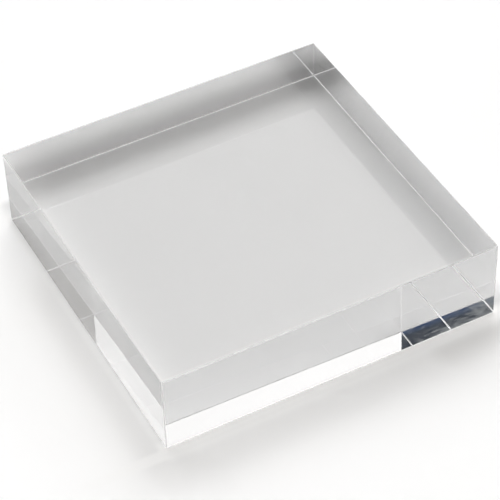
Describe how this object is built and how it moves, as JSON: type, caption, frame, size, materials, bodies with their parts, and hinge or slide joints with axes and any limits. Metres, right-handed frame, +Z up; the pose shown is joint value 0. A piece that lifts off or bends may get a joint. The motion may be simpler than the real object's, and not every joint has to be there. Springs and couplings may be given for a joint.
{
  "type": "acrylic display block",
  "caption": "Low square block of solid clear acrylic with polished faces and lightly rounded edges, laid flat as a plinth that lifts a small exhibit off its shelf.",
  "frame": {"origin": "middle of the underside", "axes": "+Z up, along the thickness of the sheet, out of the display face; +X to the right and -Y to the front, square to the side faces"},
  "size_m": [0.1016, 0.1016, 0.0254],
  "materials": {
    "clear_acrylic": "clear cast acrylic, polished faces, buffed edges"
  },
  "bodies": {
    "root": {"block": "clear_acrylic"}
  },
  "joints": []
}
